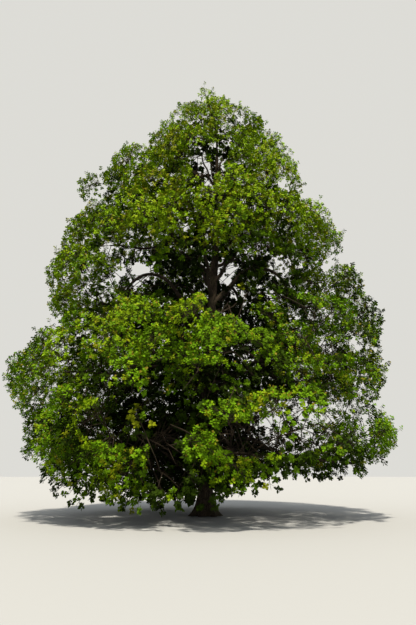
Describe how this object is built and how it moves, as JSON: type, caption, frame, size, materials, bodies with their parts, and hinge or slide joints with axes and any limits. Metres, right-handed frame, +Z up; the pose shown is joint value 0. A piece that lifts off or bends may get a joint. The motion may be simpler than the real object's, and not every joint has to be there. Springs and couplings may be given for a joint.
{
  "type": "oak tree",
  "caption": "Large broad-conical oak in early summer leaf: flared trunk, arching boughs and layered masses of foliage down to the ground.",
  "frame": {"origin": "on level ground, in the middle of the flat cut under the trunk", "axes": "+Z up the trunk; the side seen in the picture faces -Y, and +X is to its right"},
  "size_m": [14.3714, 14.1155, 18.8713],
  "materials": {
    "bark": "rough ridged grey-brown bark",
    "foliage": "satin green leaves"
  },
  "bodies": {
    "root": {"trunk": "bark", "bough_skirt_1": "bark", "bough_skirt_2": "bark", "bough_skirt_3": "bark", "bough_skirt_4": "bark", "bough_skirt_5": "bark", "bough_skirt_6": "bark", "bough_lower_1": "bark", "bough_lower_2": "bark", "bough_lower_3": "bark", "bough_lower_4": "bark", "bough_lower_5": "bark", "bough_lower_6": "bark", "bough_middle_1": "bark", "bough_middle_2": "bark", "bough_middle_3": "bark", "bough_middle_4": "bark", "bough_upper_1": "bark", "bough_upper_2": "bark", "bough_upper_3": "bark", "bough_upper_4": "bark", "bough_upper_5": "bark", "bough_shoulder_1": "bark", "bough_shoulder_2": "bark", "bough_shoulder_3": "bark", "bough_shoulder_4": "bark", "bough_high_1": "bark", "bough_high_2": "bark", "bough_high_3": "bark", "foliage_skirt_1": "foliage", "foliage_skirt_2": "foliage", "foliage_skirt_3": "foliage", "foliage_skirt_4": "foliage", "foliage_skirt_5": "foliage", "foliage_skirt_6": "foliage", "foliage_lower_1": "foliage", "foliage_lower_2": "foliage", "foliage_lower_3": "foliage", "foliage_lower_4": "foliage", "foliage_lower_5": "foliage", "foliage_lower_6": "foliage", "foliage_middle_1": "foliage", "foliage_middle_2": "foliage", "foliage_middle_3": "foliage", "foliage_middle_4": "foliage", "foliage_upper_1": "foliage", "foliage_upper_2": "foliage", "foliage_upper_3": "foliage", "foliage_upper_4": "foliage", "foliage_upper_5": "foliage", "foliage_shoulder_1": "foliage", "foliage_shoulder_2": "foliage", "foliage_shoulder_3": "foliage", "foliage_shoulder_4": "foliage", "foliage_high_1": "foliage", "foliage_high_2": "foliage", "foliage_high_3": "foliage", "foliage_leader": "foliage"}
  },
  "joints": []
}
